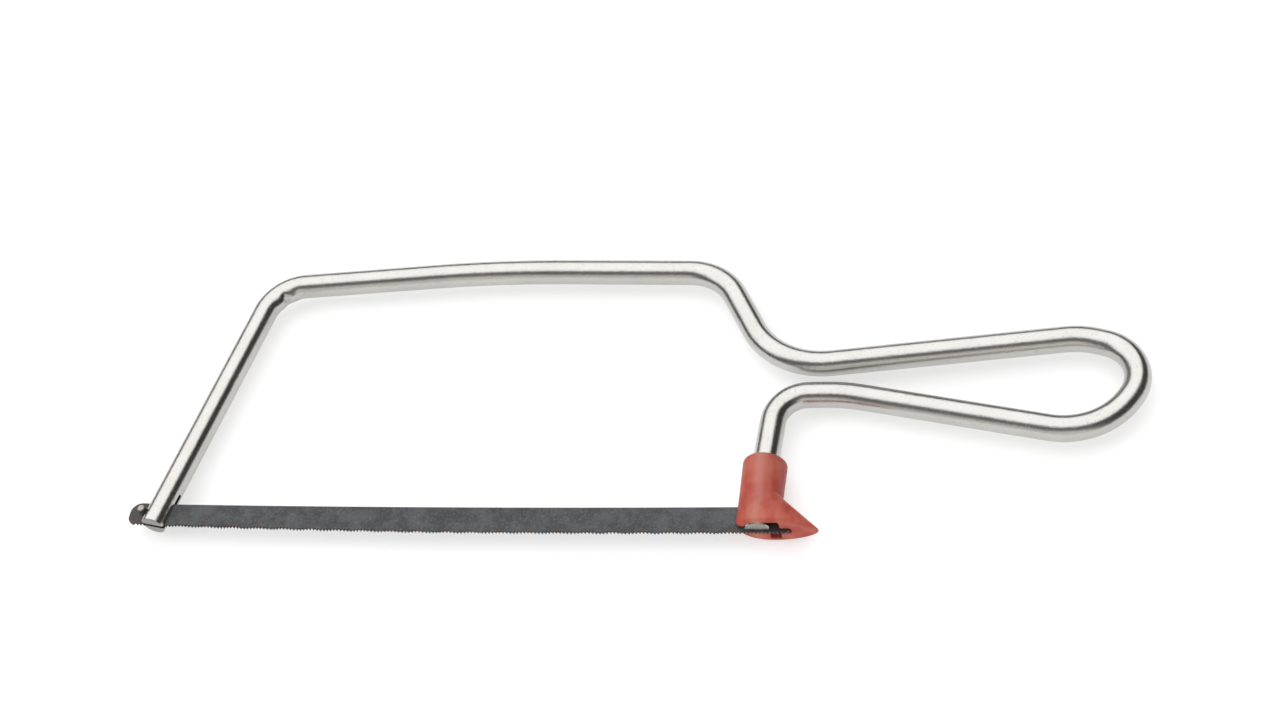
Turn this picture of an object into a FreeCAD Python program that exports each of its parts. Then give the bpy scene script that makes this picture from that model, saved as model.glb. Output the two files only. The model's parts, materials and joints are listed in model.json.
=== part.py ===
import FreeCAD, Part
import math
import os

# Junior hacksaw: one bent steel rod is the frame, the handle and the spring that pulls a
# pin-ended blade tight, and a moulded boot is pushed onto the rod's rear end.
#
# Millimetres. While it is being built, x runs along the blade from the front pin to the handle,
# y rises from the middle of the blade to the top bar, and z crosses the blade. At the end the
# whole saw is moved to lie on its side: +Z up, origin on the surface below its middle.

Vec = FreeCAD.Vector
ACROSS = Vec(0, 0, 1)

# Rod
rod_diameter = 5.7
rod_end_chamfer = 0.25

# Blade: a pin-ended strip, and the two cross pins that it is pulled tight by
blade_length = 152.0
blade_height = 6.35
blade_bow = 0.5
blade_thickness = 0.6
pin_above_middle = 0.45
front_pin_inset = 3.75
rear_pin_inset = 3.25
nose_radius = 2.6
heel_radius = 1.9
tail_corner_radius = 1.0
nose_slant_length = 70.0
nose_slant_rise = 0.75
nose_lift = 0.3
nose_lift_length = 14.0
back_stations = 12
tooth_pitch = 0.8
tooth_depth = 0.5
tooth_face_lean = 0.1
pin_diameter = 1.7
pin_length = 5.6
pin_edge_round = 0.25

# Rod ends: a slot for the blade and a seat for its pin, on the side away from the other pin
blade_side_room = 0.15
slot_depth = 8.85
pin_fit = 0.05
front_seat_depth = 0.5
rear_seat_depth = 0.25
front_end_below_pin = 2.5
rear_end_below_middle = 2.5
rear_far_side_step = 1.1

# Frame: heights above the middle of the blade, and distances along it
front_lean_deg = 10.72
front_corner_below_crown = 3.46
front_corner_radius = 9.7
crown_height = 68.86
crown_from_front_corner = 56.6
crown_radius = 337.0
rear_corner_below_crown = 2.01
rear_corner_radius = 13.5
spring_from_front_corner = 24.0
spring_from_rear_corner = 20.0

# Handle: distances behind the rear leg, heights above the middle of the blade
rear_corner_ahead = 15.5
neck_ahead = 0.35
neck_height = 39.3
neck_radius = 18.6
grip_length = 65.3
grip_above_neck = 7.25
grip_radius = 16.8
butt_length = 82.2
butt_above_neck = 2.35
butt_radius = 9.4
palm_length = 69.6
palm_below_neck = 18.2
palm_radius = 15.3
throat_length = 15.4
throat_step = 0.13
throat_radius = 37.8
neck_gap = 1.56
leg_top_behind = 0.75
leg_top_radius = 7.3
leg_bend_height = 14.5
leg_bend_radius = 60.0

# Boot: a sleeve on the rear leg that ends in a foot with a toe
boot_top_height = 14.3
sleeve_wall = 1.75
rod_fit = 0.05
rim_round = 0.7
rim_flare = 0.15
waist_height = 4.95
toe_length = 13.4
foot_half_width = 4.1
toe_taper = 0.16
sole_depth = 2.6
heel_reach = 0.2
heel_lift = 0.65
heel_lift_length = 7.0
sole_chamfer = 0.6
blade_room = 0.6
flex_travel = 0.3
travel_room = 0.15
pin_end_room = 0.25
foot_sections = 5
outline_points = 20

rod_radius = rod_diameter / 2
pin_radius = pin_diameter / 2
pin_spacing = blade_length - front_pin_inset - rear_pin_inset
blade_top = blade_height / 2
slot_width = blade_thickness + 2 * blade_side_room
tooth_line = -blade_height / 2
lean = math.radians(front_lean_deg)
front_pin_lift = nose_lift * (1 - front_pin_inset / nose_lift_length) ** 2
front_pin = Vec(0, pin_above_middle + front_pin_lift, 0)
rear_pin = Vec(pin_spacing, pin_above_middle, 0)
seat_offset = rod_radius + pin_fit + pin_radius
rear_leg_x = pin_spacing - seat_offset + rear_seat_depth
sleeve_radius = rod_radius + rod_fit + sleeve_wall
boot_heel_x = rear_leg_x - sleeve_radius
waist_x = rear_leg_x + sleeve_radius


def unit(vector):
    return vector * (1 / vector.Length)


def between(start, end, distance):
    """The point at a distance from start on the way to end."""
    return start + unit(end - start) * distance


def box(low, high):
    return Part.makeBox(high.x - low.x, high.y - low.y, high.z - low.z, low)


def cross_cylinder(centre, radius, length):
    """A cylinder along z, centred on the plane of the frame."""
    return Part.makeCylinder(radius, length, centre - ACROSS * (length / 2), ACROSS)


def bent_path(points, radii):
    """Straight runs from point to point, with an arc of the given radius at each inner point."""
    edges = []
    start = points[0]
    for corner, following, radius in zip(points[1:], points[2:], radii):
        arriving = unit(corner - start)
        leaving = unit(following - corner)
        half_turn = arriving.getAngle(leaving) / 2
        setback = radius * math.tan(half_turn)
        arc_start = corner - arriving * setback
        arc_end = corner + leaving * setback
        inward = unit(leaving - arriving)
        arc_middle = corner + inward * (radius / math.cos(half_turn) - radius)
        edges.append(Part.LineSegment(start, arc_start).toShape())
        edges.append(Part.Arc(arc_start, arc_middle, arc_end).toShape())
        start = arc_end
    edges.append(Part.LineSegment(start, points[-1]).toShape())
    return Part.Wire(edges)


def rod_along(points, radii):
    path = bent_path(points, radii)
    section = Part.Circle(points[0], points[1] - points[0], rod_radius).toShape()
    return path.makePipe(Part.Face(Part.Wire(section)))


# Points of the frame's centreline
front_axis = Vec(math.sin(lean), math.cos(lean), 0)
front_side = Vec(math.cos(lean), -math.sin(lean), 0)
front_seat = front_pin + front_side * (seat_offset - front_seat_depth)
front_end = front_seat - front_axis * front_end_below_pin
front_corner_height = crown_height - front_corner_below_crown
front_rise = (front_corner_height - front_end.y) / front_axis.y
front_corner = front_end + front_axis * front_rise
crown = Vec(front_corner.x + crown_from_front_corner, crown_height, 0)
rear_corner = Vec(rear_leg_x - rear_corner_ahead, crown_height - rear_corner_below_crown, 0)
neck = Vec(rear_leg_x - neck_ahead, neck_height, 0)
grip = Vec(rear_leg_x + grip_length, neck_height + grip_above_neck, 0)
butt = Vec(rear_leg_x + butt_length, neck_height + butt_above_neck, 0)
palm = Vec(rear_leg_x + palm_length, neck_height - palm_below_neck, 0)
leg_top_height = neck_height - rod_diameter - neck_gap
throat = Vec(rear_leg_x + throat_length, leg_top_height + throat_step, 0)
leg_top = Vec(rear_leg_x + leg_top_behind, leg_top_height, 0)
leg_bend = Vec(rear_leg_x, leg_bend_height, 0)
rear_end = Vec(rear_leg_x, -rear_end_below_middle, 0)
rear_far_end = rear_end.y + rear_far_side_step
spring_front = between(front_corner, crown, spring_from_front_corner)
spring_rear = between(rear_corner, crown, spring_from_rear_corner)


def end_slot(end, direction):
    """The cut that splits a rod end so that the blade passes through it."""
    cut = box(Vec(-rod_diameter, -1, -slot_width / 2), Vec(rod_diameter, slot_depth, slot_width / 2))
    cut.rotate(Vec(), ACROSS, math.degrees(math.atan2(-direction.x, direction.y)))
    cut.translate(end)
    return cut


def ease_end(rod, end):
    """Chamfer the sharp edge round a cut rod end."""
    rim = [
        edge
        for edge in rod.Edges
        if isinstance(edge.Curve, Part.Circle) and edge.CenterOfMass.distanceToPoint(end) < 0.01
    ]
    return rod.makeChamfer(rod_end_chamfer, rim)


def front_leg():
    """The rod's front end, its leaning leg and the bend into the top bar."""
    rod = rod_along([front_end, front_corner, spring_front], [front_corner_radius])
    rod = ease_end(rod, front_end)
    seat = cross_cylinder(front_pin, pin_radius + pin_fit, 2 * rod_diameter)
    return rod.cut([end_slot(front_end, front_axis), seat])


def top_bar():
    """The long, slightly crowned stretch that gives when the frame is sprung."""
    return rod_along([spring_front, crown, spring_rear], [crown_radius])


def handle_rod():
    """The rear corner, the handle loop and the rear leg, down to the slotted rear end."""
    points = [spring_rear, rear_corner, neck, grip, butt, palm, throat, leg_top, leg_bend, rear_end]
    radii = [
        rear_corner_radius,
        neck_radius,
        grip_radius,
        butt_radius,
        palm_radius,
        throat_radius,
        leg_top_radius,
        leg_bend_radius,
    ]
    rod = ease_end(rod_along(points, radii), rear_end)
    seat_radius = pin_radius + pin_fit
    seat = cross_cylinder(rear_pin, seat_radius, 2 * rod_diameter)
    way_out = box(
        Vec(rear_pin.x - seat_radius, rear_end.y - 1, -rod_diameter),
        Vec(rear_pin.x + seat_radius, rear_pin.y, rod_diameter),
    )
    far_side = box(
        Vec(rear_leg_x - rod_diameter, rear_end.y - 1, -rod_diameter),
        Vec(rear_leg_x + rod_diameter, rear_far_end, 0),
    )
    return rod.cut([end_slot(rear_end, Vec(0, 1, 0)), seat, way_out, far_side])


def bow(x):
    """How far the strung blade stands off a straight line at a distance along it."""
    share = x / (pin_spacing / 2) - 1
    lift = max(0, 1 - (x + front_pin_inset) / nose_lift_length)
    return nose_lift * lift**2 - blade_bow * max(0, 1 - share**2)


def back_edge(start_x, end_x):
    """The blade's back from one place along it to another."""
    step = (end_x - start_x) / back_stations
    places = [start_x + i * step for i in range(back_stations + 1)]
    curve = Part.BSplineCurve()
    curve.interpolate([Vec(x, blade_top + bow(x), 0) for x in places])
    return curve.toShape()


def toothed_edge(nose_end, tail_start):
    """The sawing edge from the nose to the tail, with a slanted run-in behind the nose."""
    slant_end = nose_end.x + nose_slant_length
    points = [nose_end]
    x = nose_end.x
    while x + tooth_pitch < tail_start.x:
        line = tooth_line + bow(x)
        line += nose_slant_rise * max(0, (slant_end - x) / nose_slant_length)
        points.append(Vec(x + tooth_pitch - tooth_face_lean, line, 0))
        points.append(Vec(x + tooth_pitch, line + tooth_depth, 0))
        x += tooth_pitch
    points.append(tail_start)
    return Part.makePolygon(points).Edges


def blade_strip():
    nose_x = -front_pin_inset
    tail_x = nose_x + blade_length
    slant = math.sqrt(0.5)
    heel_line = tooth_line + nose_slant_rise + bow(nose_x + heel_radius)
    nose_line = blade_top + bow(nose_x + nose_radius)
    cut_back = nose_radius * (1 - slant)
    nose_low = Vec(nose_x, heel_line + heel_radius, 0)
    nose_end = Vec(nose_x + heel_radius, heel_line, 0)
    nose_middle = Vec(nose_x + heel_radius * (1 - slant), nose_low.y - heel_radius * slant, 0)
    nose_high = Vec(nose_x, nose_line - nose_radius, 0)
    nose_top = Vec(nose_x + nose_radius, nose_line, 0)
    nose_crown = Vec(nose_x + cut_back, nose_line - cut_back, 0)
    tail_top = Vec(tail_x - nose_radius, blade_top, 0)
    tail_high = Vec(tail_x, blade_top - nose_radius, 0)
    tail_crown = Vec(tail_x - cut_back, blade_top - cut_back, 0)
    tail_low = Vec(tail_x, tooth_line + tail_corner_radius, 0)
    tail_start = Vec(tail_x - tail_corner_radius, tooth_line, 0)
    tail_middle = Vec(
        tail_x - tail_corner_radius * (1 - slant),
        tooth_line + tail_corner_radius * (1 - slant),
        0,
    )
    edges = [
        *toothed_edge(nose_end, tail_start),
        Part.Arc(tail_start, tail_middle, tail_low).toShape(),
        Part.LineSegment(tail_low, tail_high).toShape(),
        Part.Arc(tail_high, tail_crown, tail_top).toShape(),
        back_edge(tail_top.x, nose_top.x),
        Part.Arc(nose_top, nose_crown, nose_high).toShape(),
        Part.LineSegment(nose_high, nose_low).toShape(),
        Part.Arc(nose_low, nose_middle, nose_end).toShape(),
    ]
    strip = Part.Face(Part.Wire(edges)).extrude(ACROSS * blade_thickness)
    strip.translate(ACROSS * (-blade_thickness / 2))
    holes = [cross_cylinder(pin, pin_radius, pin_length) for pin in (front_pin, rear_pin)]
    return strip.cut(holes)


def cross_pin(centre):
    pin = cross_cylinder(centre, pin_radius, pin_length)
    rims = [edge for edge in pin.Edges if isinstance(edge.Curve, Part.Circle)]
    return pin.makeFillet(pin_edge_round, rims)


def foot_outline(height, heel_x, toe_x, half_width, taper):
    """A closed outline at one height: a circle when taper is 0, narrower to the toe otherwise."""
    middle = (heel_x + toe_x) / 2
    reach = (toe_x - heel_x) / 2
    points = []
    for i in range(outline_points):
        turn = 2 * math.pi * i / outline_points
        width = half_width * math.sin(turn) * (1 - taper * math.cos(turn))
        points.append(Vec(middle + reach * math.cos(turn), height, width))
    curve = Part.BSplineCurve()
    curve.interpolate(Points=points, PeriodicFlag=True)
    return Part.Wire(curve.toShape())


def foot():
    """The boot below its waist, from the sleeve's circle to the long sole."""
    outlines = []
    for i in range(foot_sections):
        share = i / (foot_sections - 1)
        height = waist_height - share * (waist_height + sole_depth)
        toe_x = waist_x + share * (rear_leg_x + toe_length - waist_x)
        heel_x = boot_heel_x - share * heel_reach
        half_width = sleeve_radius + share * (foot_half_width - sleeve_radius)
        outlines.append(foot_outline(height, heel_x, toe_x, half_width, share * toe_taper))
    return Part.makeLoft(outlines, True, False)


def sleeve():
    """The boot above its waist, which flares a little to a rounded rim."""
    waist = foot_outline(waist_height, boot_heel_x, waist_x, sleeve_radius, 0)
    rim_heel_x = boot_heel_x - rim_flare
    top = foot_outline(boot_top_height, rim_heel_x, waist_x + rim_flare, sleeve_radius + rim_flare, 0)
    shape = Part.makeLoft([waist, top], True, True)
    rim = [edge for edge in shape.Edges if edge.CenterOfMass.y > boot_top_height - 0.01]
    return shape.makeFillet(rim_round, rim)


def heel_cut():
    """What is taken off below the heel, so that the sole rises in an arc towards it."""
    arc_radius = (heel_lift_length**2 + heel_lift**2) / (2 * heel_lift)
    centre = Vec(boot_heel_x - heel_reach + heel_lift_length, arc_radius - sole_depth, 0)
    below = box(
        Vec(boot_heel_x - 2, -sole_depth - 1, -rod_diameter),
        Vec(centre.x, -sole_depth + heel_lift + 1, rod_diameter),
    )
    return below.cut(cross_cylinder(centre, arc_radius, 4 * rod_diameter))


def ease_sole(body):
    """Chamfer the edge round the sole, but not the line across it where the heel starts to rise."""
    highest = heel_lift - sole_depth + 0.1
    rim = [
        edge
        for edge in body.Edges
        if edge.BoundBox.YMax < highest and edge.BoundBox.XLength > sole_chamfer
    ]
    return body.makeChamfer(sole_chamfer, rim)


def boot():
    """The moulded boot, with a bore for the rod and a pocket for the blade's end and its pin.

    The near half of the sole is open round the rod's end. The far half is open for the pin only.
    """
    body = ease_sole(sleeve().fuse(foot()).removeSplitter().cut(heel_cut()))
    floor = -sole_depth - 1
    slot_half = blade_thickness / 2 + blade_room
    far_floor = rear_far_end - rod_fit
    bore_radius = rod_radius + rod_fit
    down_rod = Vec(0, 1, 0)
    bore = Part.makeCylinder(
        bore_radius, boot_top_height - far_floor + 1, Vec(rear_leg_x, far_floor, 0), down_rod
    )
    window = Part.makeCylinder(
        bore_radius, far_floor - floor + 1, Vec(rear_leg_x, floor, 0), down_rod
    )
    pin_half = pin_length / 2 + pin_end_room
    pocket_end = rear_pin + Vec(1, 1, 0) * (pin_radius + flex_travel + travel_room)
    near_corner = Vec(pocket_end.x, pocket_end.y, pin_half)
    near_side = box(
        Vec(rear_leg_x - 2 * sleeve_radius, floor, -slot_half),
        Vec(pocket_end.x, pocket_end.y, sleeve_radius),
    )
    near_pocket = box(Vec(rear_leg_x, floor, -slot_half), near_corner)
    pin_pocket = box(
        Vec(rear_pin.x - pin_radius - travel_room, floor, -pin_half),
        Vec(pocket_end.x, pocket_end.y, 0),
    )
    blade_end = blade_length - front_pin_inset
    blade_pocket = box(
        Vec(rear_leg_x - 2 * sleeve_radius, floor, -slot_half),
        Vec(blade_end + flex_travel + travel_room, blade_top + flex_travel + travel_room, slot_half),
    )
    return body.cut([bore, window.common(near_side), near_pocket, pin_pocket, blade_pocket])


parts = {
    "front_leg": front_leg(),
    "top_bar": top_bar(),
    "handle_rod": handle_rod(),
    "blade_strip": blade_strip(),
    "front_pin": cross_pin(front_pin),
    "rear_pin": cross_pin(rear_pin),
    "boot": boot(),
}

whole = Part.makeCompound(list(parts.values())).optimalBoundingBox(False)
resting = Vec(-whole.Center.x, -whole.Center.y, -whole.ZMin)

os.makedirs("parts", exist_ok=True)
for name, shape in parts.items():
    shape.translate(resting)
    shape.exportStep("parts/" + name + ".step")
    print(name, shape.isValid(), len(shape.Solids), round(shape.Volume, 2))

print("moved by", resting)
print("flex pivot", (spring_front + spring_rear) * 0.5 + resting)
print("front pin", front_pin + resting)
print("rear pin", rear_pin + resting)
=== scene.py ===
import json
import math

import bmesh
import bpy
from mathutils import Matrix, Vector, noise


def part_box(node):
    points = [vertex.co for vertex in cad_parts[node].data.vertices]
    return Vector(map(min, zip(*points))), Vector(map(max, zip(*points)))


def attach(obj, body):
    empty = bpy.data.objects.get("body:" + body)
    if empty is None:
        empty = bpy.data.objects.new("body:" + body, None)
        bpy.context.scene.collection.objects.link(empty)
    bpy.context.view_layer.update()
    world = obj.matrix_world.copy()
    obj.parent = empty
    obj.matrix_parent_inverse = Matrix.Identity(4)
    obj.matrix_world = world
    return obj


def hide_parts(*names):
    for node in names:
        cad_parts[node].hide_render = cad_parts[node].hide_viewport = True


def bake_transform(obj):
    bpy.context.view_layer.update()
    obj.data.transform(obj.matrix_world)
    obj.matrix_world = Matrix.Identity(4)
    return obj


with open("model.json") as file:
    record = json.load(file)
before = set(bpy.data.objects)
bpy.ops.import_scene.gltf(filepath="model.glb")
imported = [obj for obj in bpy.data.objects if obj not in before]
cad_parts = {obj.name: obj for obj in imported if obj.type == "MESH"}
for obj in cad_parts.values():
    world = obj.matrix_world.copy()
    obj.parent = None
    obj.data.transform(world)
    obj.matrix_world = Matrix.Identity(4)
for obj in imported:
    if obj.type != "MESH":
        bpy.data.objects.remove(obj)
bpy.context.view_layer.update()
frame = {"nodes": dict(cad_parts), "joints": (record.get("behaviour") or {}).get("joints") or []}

# Junior hacksaw. Metres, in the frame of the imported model: the saw lies on its side, x runs along
# the blade to the handle, y from the blade to the top bar and z up from the table.

MM = 0.001
ALONG = Vector((1, 0, 0))
AHEAD = Vector((0, 1, 0))
UP = Vector((0, 0, 1))

# Rod. Heights are above the middle of the blade.
rod_radius = 2.85 * MM
rod_end_chamfer = 0.25 * MM
front_lean = math.radians(10.72)
leg_beside_pin = 3.25 * MM
leg_end_below_pin = 2.5 * MM
front_corner_height = 65.4 * MM
front_corner_radius = 9.7 * MM
crown_height = 68.86 * MM
crown_from_front_corner = 56.6 * MM
crown_radius = 337.0 * MM
rear_corner_from_pin = 126.0 * MM
rear_corner_height = 66.85 * MM
spring_from_front_corner = 24.0 * MM
spring_from_rear_corner = 20.0 * MM
slot_width = 0.9 * MM
slot_depth = 8.85 * MM
seat_radius = 0.9 * MM
rear_end_height = -2.5 * MM
ring_sides = 64
run_ring_gap = 3.0 * MM
bend_ring_gap = 0.25 * MM
merge_distance = 0.001 * MM
rim_tolerance = 0.01 * MM

# The shapes that cut the front end: wider than the rod, so that they leave nothing behind
slot_cutter_width = 3 * rod_radius
seat_cutter_length = 4 * rod_radius
seat_sides = 48

# The mark the bending tool left inside the front corner
crease_depth = 0.38 * MM
crease_half_width = 0.45 * MM
bulge_height = 0.34 * MM
bulge_from_crease = 1.5 * MM
bulge_half_width = 1.15 * MM
bulge_wobble = 0.12
bulge_wobble_length = 1.1 * MM
crease_margin = 0.2

# Blade and its pins. The nose is its front end.
pin_above_middle = 0.6108 * MM
pin_spacing = 145.0 * MM
pin_half_length = 2.8 * MM
blade_height = 6.35 * MM
blade_bow = 0.5 * MM
blade_thickness = 0.6 * MM
nose_radius = 2.6 * MM
heel_radius = 1.9 * MM
tail_corner_radius = 1.0 * MM
nose_slant_length = 70.0 * MM
nose_slant_rise = 0.75 * MM
nose_lift = 0.3 * MM
nose_lift_length = 14.0 * MM
tooth_pitch = 0.8 * MM
tooth_depth = 0.5 * MM
tooth_face_lean = 0.1 * MM
tooth_wear = 0.35
tooth_wear_length = 2.3 * MM
# Rows of the sheet's mesh: heights above the teeth, then shares of the blade's height
tooth_rows = [0.65 * MM, 0.95 * MM, 1.3 * MM, 1.8 * MM]
back_rows = [0.45, 0.65, 0.82, 1.0]
nose_steps = 7
tail_steps = 8
# The teeth's wave from side to side, which fades out towards both ends
set_wave_length = 6.3 * MM
set_wave_reach = 0.14 * MM
set_wave_height = 1.7 * MM
set_from_nose = 6 * MM
set_from_tail = 12 * MM
set_fade_length = 4 * MM

# Boot
boot_voxel = 0.17 * MM
boot_smoothing = 5
rear_leg_from_pin = 141.5 * MM
# Offset of the middle of the boot's painted sheen band from the rear leg, along the blade
sheen_band_from_leg = 0.7 * MM
near_wall_height = 1.5 * MM
# Dents in its near wall: place from the front pin and the middle of the blade, reach and depth
boot_dents = [
    (Vector((141.8, 2.7, 4.6)) * MM, 0.75 * MM, 0.34 * MM),
    (Vector((143.1, 1.5, 4.5)) * MM, 0.6 * MM, 0.28 * MM),
    (Vector((139.4, 7.6, 4.4)) * MM, 0.9 * MM, 0.08 * MM),
    (Vector((145.9, 3.4, 3.4)) * MM, 1.3 * MM, 0.28 * MM),
    (Vector((148.3, 0.5, 3.4)) * MM, 0.9 * MM, 0.38 * MM),
    (Vector((150.2, -0.6, 2.9)) * MM, 0.8 * MM, 0.12 * MM),
]

# Camera, from the middle of the blade at the front pin
camera_from_blade = Vector((225.548, -223.247, 356.062)) * MM
camera_turn_deg = (37.4806, 12.1541, 8.2007)
camera_lens = 57.41
camera_sensor = 36.0
camera_nearest = 0.01
camera_farthest = 20

# Studio: a pale tent overhead, open to a dark room at the right and along the foot of its walls.
# At the front a dim gap comes after it, and then a warm grey board. Edges are where a direction
# crosses into the part.
tent_tilt = Vector((-0.53, 0.19, 1.0))
tent_right_edge = (0.42, 0.58)
tent_front_edge = (-0.56, -0.26)
tent_foot = (0.26, 0.52)
tent_bright = 1.75
board_edge = (-0.9, -0.78)
board_bright = 0.75
board_colour = (1, 0.96, 0.89, 1)
gap_edge = (-0.75, -0.4)
gap_bright = 0.14
room_dark = 0.05
white = (1, 1, 1, 1)
fill_place = Vector((0.1, -0.9, 0.6))
fill_width = 0.8
fill_depth = 0.6
fill_watts = 3.0
table_glow = 1.05
table_radius = 5.0
table_sides = 96

pins = {joint["name"]: Vector(joint["pos_m"]) for joint in frame["joints"]}
front_pin = pins["blade_swing"]
mid_height = front_pin.z
blade_middle = front_pin.y - pin_above_middle
blade_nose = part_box("blade_strip")[0].x
blade_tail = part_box("blade_strip")[1].x

# Points on the rod's centreline
leg_axis = Vector((math.sin(front_lean), math.cos(front_lean), 0))
leg_side = Vector((math.cos(front_lean), -math.sin(front_lean), 0))
leg_seat = front_pin + leg_side * leg_beside_pin
leg_end = leg_seat - leg_axis * leg_end_below_pin
leg_rise = (blade_middle + front_corner_height - leg_seat.y) / leg_axis.y
front_corner = leg_seat + leg_axis * leg_rise
crown_x = front_corner.x + crown_from_front_corner
crown = Vector((crown_x, blade_middle + crown_height, mid_height))
rear_corner_x = front_pin.x + rear_corner_from_pin
rear_corner = Vector((rear_corner_x, blade_middle + rear_corner_height, mid_height))
spring_front = front_corner + (crown - front_corner).normalized() * spring_from_front_corner
spring_rear = rear_corner + (crown - rear_corner).normalized() * spring_from_rear_corner


# ---------------------------------------------------------------- finishes


class Link:
    """An output socket that can be used in sums."""

    def __init__(self, tree, socket):
        self.tree = tree
        self.socket = socket

    def maths(self, operation, *terms):
        return self.tree.node("Math", {"operation": operation}, dict(enumerate(terms)))

    def __add__(self, other):
        return self.maths("ADD", self, other)

    def __radd__(self, other):
        return self.maths("ADD", other, self)

    def __sub__(self, other):
        return self.maths("SUBTRACT", self, other)

    def __rsub__(self, other):
        return self.maths("SUBTRACT", other, self)

    def __mul__(self, other):
        return self.maths("MULTIPLY", self, other)

    def __rmul__(self, other):
        return self.maths("MULTIPLY", other, self)


class Tree:
    """The nodes of a material or of the room, made one at a time."""

    def __init__(self, owner, shader):
        owner.use_nodes = True
        self.nodes = owner.node_tree.nodes
        self.links = owner.node_tree.links
        self.shader = self.nodes[shader]

    def node(self, kind, settings, values, output=0):
        made = self.nodes.new("ShaderNode" + kind)
        for setting, value in settings.items():
            setattr(made, setting, value)
        for socket, value in values.items():
            if isinstance(value, Link):
                self.links.new(value.socket, made.inputs[socket])
            else:
                made.inputs[socket].default_value = value
        return Link(self, made.outputs[output])

    def step(self, value, low, high):
        """0 below low, 1 above high and smooth between."""
        return self.node(
            "MapRange",
            {"interpolation_type": "SMOOTHSTEP"},
            {"Value": value, "From Min": low, "From Max": high},
        )

    def along(self, point, axis):
        """How far the point lies along the axis."""
        return self.node("VectorMath", {"operation": "DOT_PRODUCT"}, {0: point, 1: axis}, "Value")

    def blend(self, share, first, second):
        """A colour that turns from first to second as share goes from 0 to 1."""
        factor, a, b = 0, 6, 7
        return self.node("Mix", {"data_type": "RGBA"}, {factor: share, a: first, b: second}, 2)

    def set(self, socket, link):
        self.links.new(link.socket, self.shader.inputs[socket])


class Finish(Tree):
    """A material with one Principled shader. Constants are set on the shader's own sockets."""

    def __init__(self, name, **constants):
        self.material = bpy.data.materials.new(name)
        super().__init__(self.material, "Principled BSDF")
        for socket, value in constants.items():
            self.shader.inputs[socket.replace("_", " ")].default_value = value

    def place(self, stretch=(1, 1, 1)):
        """The point on the piece, with its axes stretched."""
        point = self.node("TexCoord", {}, {}, "Object")
        return self.node("Mapping", {}, {"Vector": point, "Scale": stretch})

    def grain(self, point, size, detail=2.0, roughness=0.5):
        """Cloudy noise from 0 to 1 whose patches are about the given size."""
        return self.node(
            "TexNoise",
            {},
            {"Vector": point, "Scale": 1 / size, "Detail": detail, "Roughness": roughness},
        )

    def bump(self, height, distance, below=None):
        """A normal raised by height times distance, on top of the one below it."""
        values = {"Height": height, "Distance": distance}
        if below is not None:
            values["Normal"] = below
        return self.node("Bump", {}, values)


def sawn_ends(finish, point):
    """1 on the two sawn faces of the rod and 0 elsewhere."""

    def near_plane(end, axis):
        from_end = finish.along(point, axis) - end.dot(axis)
        return 1 - finish.step(from_end, 0.03 * MM, 0.12 * MM)

    rear_end = Vector((rear_corner.x, blade_middle + rear_end_height, mid_height))
    rearward = finish.step(finish.along(point, ALONG), 0.0, 1 * MM)
    return near_plane(leg_end, leg_axis) + near_plane(rear_end, AHEAD) * rearward


def plated_rod():
    """Dull bright plating over a drawn rod: faint orange peel, fine speckle and a few pits."""
    finish = Finish("plated_rod", Metallic=1.0)
    point = finish.place()
    cloud = finish.grain(point, 9 * MM, 3)
    speckle = finish.grain(point, 0.3 * MM, 3, 0.6)
    peel = finish.grain(point, 1.3 * MM, 2)
    pit = finish.node("TexVoronoi", {}, {"Vector": point, "Scale": 1 / (1.5 * MM)})
    pits = (1 - finish.step(pit, 0.04, 0.11)) * finish.step(cloud, 0.5, 0.62)
    sawn = sawn_ends(finish, point)
    bright = finish.blend(cloud, (0.46, 0.452, 0.432, 1), (0.56, 0.552, 0.53, 1))
    worn = finish.blend(finish.step(speckle, 0.56, 0.75), bright, (0.34, 0.33, 0.31, 1))
    pitted = finish.blend(pits, worn, (0.17, 0.155, 0.14, 1))
    finish.set("Base Color", finish.blend(sawn, pitted, (0.4, 0.39, 0.36, 1)))
    finish.set("Roughness", 0.12 + cloud * 0.08 + speckle * 0.16 + pits * 0.3 + sawn * 0.4)
    fine = finish.bump(speckle, 0.022 * MM)
    finish.set("Normal", finish.bump(peel, 0.03 * MM, below=fine))
    return finish.material


def blade_steel():
    """Dark blue-grey lacquer on hardened strip, mottled, browned and bare along the teeth."""
    finish = Finish("blade_steel", Metallic=0.1)
    point = finish.place()
    height = finish.node("Attribute", {"attribute_name": "tooth_height"}, {}, "Fac")
    cloud = finish.grain(point, 5 * MM, 4, 0.65)
    fleck = finish.grain(point, 0.55 * MM, 3, 0.65)
    patches = finish.step(cloud, 0.36, 0.64)
    dark = finish.blend(patches, (0.026, 0.027, 0.029, 1), (0.062, 0.066, 0.072, 1))
    flecks = finish.step(fleck, 0.48, 0.78)
    mottled = finish.blend(flecks * 0.7, dark, (0.13, 0.138, 0.144, 1))
    along = finish.along(point, ALONG)
    nose_end = 1 - finish.step(along, blade_nose + 2 * MM, blade_nose + 16 * MM)
    tail_end = finish.step(along, blade_tail - 12 * MM, blade_tail - 4 * MM)
    aged = finish.blend((nose_end + tail_end) * 0.75, mottled, (0.045, 0.036, 0.031, 1))
    turn = along * (2 * math.pi / set_wave_length)
    wave = finish.node("Math", {"operation": "SINE"}, {0: turn})
    near_teeth = 1 - finish.step(height, 0.3 * MM, 1.6 * MM)
    brown = near_teeth * finish.step(wave * 0.5 + fleck, 0.62, 1.0)
    browned = finish.blend(brown * 0.6, aged, (0.085, 0.05, 0.032, 1))
    bare = (1 - finish.step(height, 0.0, 0.3 * MM)) * finish.step(fleck, 0.5, 0.62)
    finish.set("Base Color", finish.blend(bare, browned, (0.2, 0.185, 0.165, 1)))
    finish.set("Roughness", 0.42 + cloud * 0.12 + fleck * 0.15)
    finish.set("Normal", finish.bump(fleck, 0.03 * MM))
    return finish.material


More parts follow.
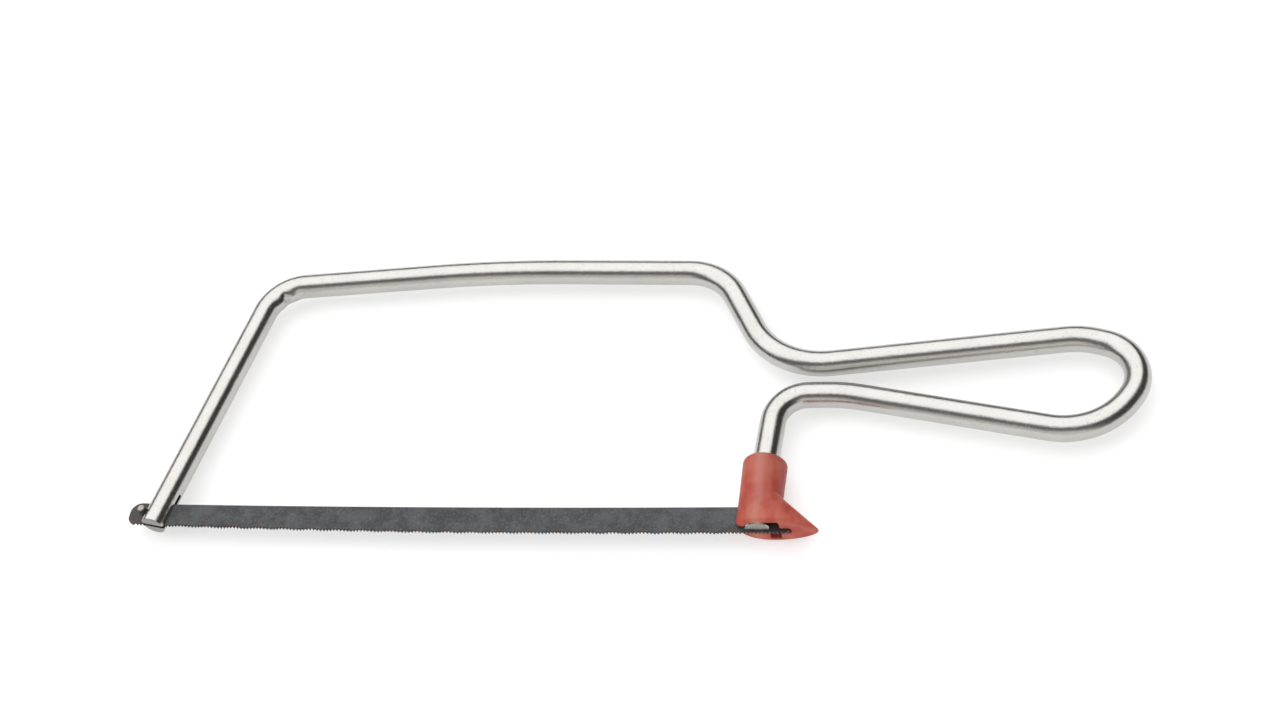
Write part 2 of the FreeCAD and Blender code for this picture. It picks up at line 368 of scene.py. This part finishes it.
def pin_steel():
    """Dark pin wire, its cropped ends rubbed bright."""
    finish = Finish("pin_steel")
    point = finish.place()
    scratch = finish.grain(finish.place((8, 1, 1)), 1.2 * MM, 3, 0.6)
    cloud = finish.grain(point, 0.8 * MM, 3)
    level = finish.along(point, UP)
    from_middle = finish.node("Math", {"operation": "ABSOLUTE"}, {0: level - mid_height})
    uneven = from_middle + cloud * (0.2 * MM)
    rub_and_sheen = finish.step(uneven, pin_half_length - 0.15 * MM, pin_half_length)
    finish.set("Base Color", finish.blend(rub_and_sheen, (0.06, 0.055, 0.05, 1), (0.33, 0.31, 0.27, 1)))
    finish.set("Metallic", 0.3 + rub_and_sheen * 0.7)
    finish.set("Roughness", 0.3 + scratch * 0.25)
    finish.set("Normal", finish.bump(scratch, 0.02 * MM))
    return finish.material


def boot_plastic():
    """Satin red moulding with soft flow streaks, and a painted sheen: a paler band along its near
    side.
    """
    finish = Finish("boot_plastic", IOR=1.45)
    point = finish.place()
    streak = finish.grain(finish.place((1, 0.22, 1)), 1.9 * MM, 3, 0.5)
    cloud = finish.grain(point, 4 * MM, 2)
    skin = finish.grain(point, 0.25 * MM, 2)
    patches = finish.step(cloud, 0.35, 0.65)
    red = finish.blend(patches, (0.37, 0.04, 0.024, 1), (0.43, 0.075, 0.044, 1))
    streaks = finish.step(streak, 0.42, 0.72)
    pale = finish.blend(streaks * 0.4, red, (0.47, 0.175, 0.12, 1))
    # Painted sheen: a paler band down the near side beside the rear leg. It stands in for the
    # light's gleam on the satin plastic.
    leg_place = front_pin.x + rear_leg_from_pin
    from_leg = finish.along(point, ALONG) - leg_place + cloud * (1.2 * MM)
    aside = finish.node("Math", {"operation": "ABSOLUTE"}, {0: from_leg - sheen_band_from_leg})
    rub_and_sheen = 1 - finish.step(aside, 0.2 * MM, 1.9 * MM)
    finish.set("Base Color", finish.blend(rub_and_sheen * 0.42, pale, (0.48, 0.23, 0.175, 1)))
    finish.set("Roughness", 0.4 + streak * 0.2)
    finish.set("Normal", finish.bump(skin, 0.012 * MM))
    return finish.material


def table_paper():
    """White paper, lit from below as well."""
    finish = Finish("table_paper", Roughness=0.8, Emission_Strength=table_glow)
    tone = finish.grain(finish.place(), 0.15, 2)
    paper = finish.blend(tone, (0.5, 0.5, 0.5, 1), (0.53, 0.53, 0.53, 1))
    finish.set("Base Color", paper)
    finish.set("Emission Color", paper)
    return finish.material


# ---------------------------------------------------------------- mesh helpers


def make_piece(name, mesh, material, sharp_deg=35.0):
    """The bmesh as an object: smooth, with an edge sharp where it turns by more than the angle."""
    bmesh.ops.remove_doubles(mesh, verts=mesh.verts, dist=merge_distance)
    bmesh.ops.recalc_face_normals(mesh, faces=mesh.faces)
    limit = math.radians(sharp_deg)
    for face in mesh.faces:
        face.smooth = True
    for edge in mesh.edges:
        edge.smooth = edge.calc_face_angle(0.0) < limit
    data = bpy.data.meshes.new(name)
    mesh.to_mesh(data)
    mesh.free()
    data.materials.append(material)
    piece = bpy.data.objects.new(name, data)
    bpy.context.scene.collection.objects.link(piece)
    return piece


def modified(piece):
    """A bmesh of the piece with its modifiers done, and the piece itself taken away."""
    bpy.context.view_layer.update()
    evaluated = piece.evaluated_get(bpy.context.evaluated_depsgraph_get())
    mesh = bmesh.new()
    mesh.from_mesh(evaluated.to_mesh())
    data = piece.data
    bpy.data.objects.remove(piece)
    bpy.data.meshes.remove(data)
    return mesh


# ---------------------------------------------------------------- rod


def swept_rod(points, radii, ring_gaps):
    """A closed rod along straight runs with a bend at each inner point."""
    mesh = bmesh.new()
    direction = (points[1] - points[0]).normalized()
    facing = direction.to_track_quat("Z", "Y").to_matrix().to_4x4()
    facing.translation = points[0]
    bmesh.ops.create_circle(mesh, segments=ring_sides, radius=rod_radius, matrix=facing)
    ring = list(mesh.edges)
    bmesh.ops.contextual_create(mesh, geom=ring)

    def run(ring, way, length):
        steps = max(1, round(length / run_ring_gap))
        for _ in range(steps):
            made = bmesh.ops.extrude_edge_only(mesh, edges=ring)["geom"]
            verts = [item for item in made if isinstance(item, bmesh.types.BMVert)]
            bmesh.ops.translate(mesh, verts=verts, vec=way * (length / steps))
            last = set(verts)
            ring = [
                item
                for item in made
                if isinstance(item, bmesh.types.BMEdge) and set(item.verts) <= last
            ]
        return ring

    start = points[0]
    for corner, following, radius, gap in zip(points[1:], points[2:], radii, ring_gaps):
        leaving = (following - corner).normalized()
        turn = direction.angle(leaving)
        setback = radius * math.tan(turn / 2)
        ring = run(ring, direction, (corner - start).length - setback)
        side = leaving - direction * leaving.dot(direction)
        centre = corner - direction * setback + side.normalized() * radius
        steps = max(2, round(turn * radius / gap))
        made = bmesh.ops.spin(
            mesh,
            geom=ring,
            cent=centre,
            axis=direction.cross(leaving),
            angle=turn,
            steps=steps,
            use_merge=False,
        )["geom_last"]
        ring = [item for item in made if isinstance(item, bmesh.types.BMEdge)]
        start = corner + leaving * setback
        direction = leaving
    ring = run(ring, direction, (points[-1] - start).length)
    bmesh.ops.contextual_create(mesh, geom=ring)
    return mesh


def cutter(name, mesh):
    """The bmesh as an object that cuts another and is taken away after that."""
    data = bpy.data.meshes.new(name)
    bmesh.ops.recalc_face_normals(mesh, faces=mesh.faces)
    mesh.to_mesh(data)
    mesh.free()
    piece = bpy.data.objects.new(name, data)
    bpy.context.scene.collection.objects.link(piece)
    return piece


def slot_cutter():
    """The sheet of space that the blade passes through in the rod's end."""
    mesh = bmesh.new()
    bmesh.ops.create_cube(mesh, size=1)
    size = Vector((slot_cutter_width, 2 * slot_depth, slot_width))
    bmesh.ops.scale(mesh, vec=size, verts=mesh.verts)
    turned = Matrix.Translation(leg_end) @ Matrix.Rotation(-front_lean, 4, "Z")
    bmesh.ops.transform(mesh, matrix=turned, verts=mesh.verts)
    return cutter("slot_cutter", mesh)


def seat_cutter():
    """The groove that the front pin pulls into."""
    mesh = bmesh.new()
    bmesh.ops.create_cone(
        mesh,
        cap_ends=True,
        segments=seat_sides,
        radius1=seat_radius,
        radius2=seat_radius,
        depth=seat_cutter_length,
        matrix=Matrix.Translation(front_pin),
    )
    return cutter("seat_cutter", mesh)


def press_crease(mesh):
    """The inside of the front corner: a crease with the metal pushed up on both sides."""
    leaving = (crown - front_corner).normalized()
    half_turn = leg_axis.angle(leaving) / 2
    inward = (leaving - leg_axis).normalized()
    centre = front_corner + inward * (front_corner_radius / math.cos(half_turn))
    for vert in mesh.verts:
        spoke = vert.co - centre
        spoke.z = 0
        turned = math.atan2(spoke.cross(-inward).z, spoke.dot(-inward))
        if abs(turned) > half_turn + crease_margin or spoke.length > front_corner_radius:
            continue
        across = (front_corner_radius - spoke.length) / rod_radius
        along = turned * (front_corner_radius - rod_radius)
        wobble = bulge_wobble * noise.noise(vert.co / bulge_wobble_length)
        rise = math.exp(-(((abs(along) - bulge_from_crease) / bulge_half_width) ** 2))
        fall = math.exp(-((along / crease_half_width) ** 2))
        push = bulge_height * rise * (1 + wobble) - crease_depth * fall
        vert.co -= spoke.normalized() * push * max(0.0, across) ** 3


def front_leg_rod(material):
    """The front leg to where the spring starts, sawn, slotted and grooved at its end."""
    mesh = swept_rod([leg_end, front_corner, spring_front], [front_corner_radius], [bend_ring_gap])
    end_rim = [
        edge
        for edge in mesh.edges
        if all(abs((vert.co - leg_end).dot(leg_axis)) < rim_tolerance for vert in edge.verts)
    ]
    bmesh.ops.bevel(
        mesh,
        geom=end_rim,
        offset=rod_end_chamfer,
        segments=2,
        profile=0.5,
        affect="EDGES",
        material=-1,
    )
    press_crease(mesh)
    piece = make_piece("front_leg_whole", mesh, material)
    tools = [slot_cutter(), seat_cutter()]
    for tool in tools:
        cut = piece.modifiers.new(tool.name, "BOOLEAN")
        cut.operation = "DIFFERENCE"
        cut.object = tool
        cut.solver = "EXACT"
    mesh = modified(piece)
    for tool in tools:
        bpy.data.objects.remove(tool)
    return make_piece("front_leg_rod", mesh, material, sharp_deg=60)


def top_bar_rod(material):
    """The slightly arched stretch that springs."""
    mesh = swept_rod([spring_rear, crown, spring_front], [crown_radius], [run_ring_gap])
    return make_piece("top_bar_rod", mesh, material)


# ---------------------------------------------------------------- blade


def blade_sheet(material):
    """The toothed strip, with its teeth set in a wave from side to side."""
    low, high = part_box("blade_strip")
    back = blade_middle + blade_height / 2
    teeth_level = back - blade_height

    def bow(x):
        """How far the strung blade stands off a straight line."""
        share = (x - front_pin.x) / (pin_spacing / 2) - 1
        lift = max(0, 1 - (x - low.x) / nose_lift_length)
        return nose_lift * lift**2 - blade_bow * max(0, 1 - share**2)

    def round_off(x, radius, end, way):
        """How far a corner of that radius is cut back at x, near one end."""
        inside = (x - end) * way
        if inside >= radius:
            return 0
        return radius - math.sqrt(max(0, radius**2 - (radius - inside) ** 2))

    def outline(x):
        bottom = teeth_level + bow(x)
        slant = max(0, 1 - (x - low.x - heel_radius) / nose_slant_length)
        bottom += nose_slant_rise * min(1, slant)
        bottom += round_off(x, heel_radius, low.x, 1)
        bottom += round_off(x, tail_corner_radius, high.x, -1)
        top = back + bow(x)
        top -= round_off(x, nose_radius, low.x, 1)
        top -= round_off(x, nose_radius, high.x, -1)
        return bottom, top

    first_tooth = low.x + heel_radius
    tooth_count = int((high.x - tail_corner_radius - first_tooth) / tooth_pitch)
    columns = [
        (low.x + heel_radius * (1 - math.cos(math.pi / 2 * i / nose_steps)), 0)
        for i in range(nose_steps)
    ]
    for i in range(tooth_count):
        gullet = first_tooth + i * tooth_pitch
        columns.append((gullet, tooth_depth))
        columns.append((gullet + tooth_pitch - tooth_face_lean, 0))
    tail_start = first_tooth + tooth_count * tooth_pitch
    columns += [
        (tail_start + (high.x - tail_start) * math.sin(math.pi / 2 * i / tail_steps), 0)
        for i in range(tail_steps + 1)
    ]
    shares = [0.0] + [row / blade_height for row in tooth_rows] + back_rows
    mesh = bmesh.new()
    last_column = len(columns) - 1
    last_row = len(shares) - 1
    bmesh.ops.create_grid(mesh, x_segments=last_column, y_segments=last_row, size=0.5)
    height_of = mesh.verts.layers.float.new("tooth_height")
    mesh.verts.ensure_lookup_table()
    for vert in mesh.verts:
        column = round((vert.co.x + 0.5) * last_column)
        row = round((vert.co.y + 0.5) * last_row)
        x, gullet = columns[column]
        bottom, top = outline(x)
        y = bottom + (top - bottom) * shares[row]
        if row == 0:
            worn = 1 + tooth_wear * noise.noise(Vector((x / tooth_wear_length, 0, 0)))
            y += gullet * worn
        near_teeth = max(0, 1 - (y - bottom) / set_wave_height)
        ends = min(1, max(0, (x - low.x - set_from_nose) / set_fade_length))
        ends *= min(1, max(0, (high.x - set_from_tail - x) / set_fade_length))
        swing = math.sin(2 * math.pi * x / set_wave_length)
        z = set_wave_reach * swing * near_teeth * ends
        vert.co = Vector((x, y, mid_height - blade_thickness / 2 + z))
        vert[height_of] = y - bottom
    made = bmesh.ops.extrude_face_region(mesh, geom=list(mesh.faces))["geom"]
    raised = [item for item in made if isinstance(item, bmesh.types.BMVert)]
    bmesh.ops.translate(mesh, verts=raised, vec=UP * blade_thickness)
    return make_piece("blade_sheet", mesh, material, sharp_deg=25)


# ---------------------------------------------------------------- boot


def press_dents(mesh):
    """The boot's small dents, pushed in across its thickness."""
    start = Vector((front_pin.x, blade_middle, mid_height))
    for vert in mesh.verts:
        spot = vert.co - start
        if spot.z > near_wall_height:
            for centre, reach, depth in boot_dents:
                vert.co.z -= depth * math.exp(-(((spot - centre).length / reach) ** 2))


def boot_moulding(material):
    """The moulded boot: the plain shape softened, with a few dents."""
    mesh = bmesh.new()
    mesh.from_mesh(frame["nodes"]["boot"].data)
    piece = make_piece("boot_blank", mesh, material)
    remesh = piece.modifiers.new("voxels", "REMESH")
    remesh.mode = "VOXEL"
    remesh.voxel_size = boot_voxel
    mesh = modified(piece)
    for _ in range(boot_smoothing):
        bmesh.ops.smooth_vert(
            mesh,
            verts=mesh.verts,
            factor=0.5,
            use_axis_x=True,
            use_axis_y=True,
            use_axis_z=True,
        )
    press_dents(mesh)
    return make_piece("boot_moulding", mesh, material, sharp_deg=180)


# ---------------------------------------------------------------- the saw

plating = plated_rod()
lacquer = blade_steel()
pin_finish = pin_steel()
red = boot_plastic()

leg = front_leg_rod(plating)
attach(leg, "front_frame")
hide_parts("front_leg")

bar = top_bar_rod(plating)
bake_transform(bar)
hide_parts("top_bar")

blade = blade_sheet(lacquer)
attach(blade, "blade")
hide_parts("blade_strip")

boot = boot_moulding(red)
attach(boot, "handle")
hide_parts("boot")

for node, material in (
    ("handle_rod", plating),
    ("front_pin", pin_finish),
    ("rear_pin", pin_finish),
):
    for slot in frame["nodes"][node].material_slots:
        slot.material = material


# ---------------------------------------------------------------- studio


def table():
    """The ground that the saw lies on."""
    mesh = bmesh.new()
    bmesh.ops.create_circle(mesh, cap_ends=True, segments=table_sides, radius=table_radius)
    piece = make_piece("table", mesh, table_paper())


def front_fill():
    """A weak soft light from the front, not seen in the plating."""
    light = bpy.data.lights.new("front_fill", "AREA")
    light.shape = "RECTANGLE"
    light.size = fill_width
    light.size_y = fill_depth
    light.energy = fill_watts
    lamp = bpy.data.objects.new("front_fill", light)
    lamp.location = fill_place
    lamp.rotation_euler = (-fill_place).to_track_quat("-Z", "Y").to_euler()
    lamp.visible_glossy = False
    bpy.context.scene.collection.objects.link(lamp)


def room():
    """The light from all round: tent, gap, board and the dark beyond them."""
    world = bpy.data.worlds.new("room")
    tree = Tree(world, "Background")
    way = tree.node("TexCoord", {}, {}, "Generated")
    ahead = tree.along(way, AHEAD)
    left_of_edge = tree.step(tree.along(way, tent_tilt), *tent_right_edge)
    above_foot = tree.step(tree.along(way, UP), *tent_foot)
    tent = left_of_edge * tree.step(ahead, *tent_front_edge) * above_foot
    board = 1 - tree.step(ahead, *board_edge)
    gap = 1 - tree.step(ahead, *gap_edge)
    tree.set("Color", tree.blend(board, white, board_colour))
    bright = tent * tent_bright + board * board_bright + gap * gap_bright
    tree.set("Strength", bright + room_dark)
    bpy.context.scene.world = world


def camera():
    """The main view, from above and from the blade's side."""
    data = bpy.data.cameras.new("camera")
    data.lens = camera_lens
    data.sensor_width = camera_sensor
    data.clip_start = camera_nearest
    data.clip_end = camera_farthest
    made = bpy.data.objects.new("camera", data)
    made.location = Vector((front_pin.x, blade_middle, mid_height)) + camera_from_blade
    made.rotation_euler = [math.radians(turn) for turn in camera_turn_deg]
    bpy.context.scene.collection.objects.link(made)
    bpy.context.scene.camera = made


table()
room()
front_fill()
camera()
bpy.context.scene.view_settings.view_transform = "Standard"
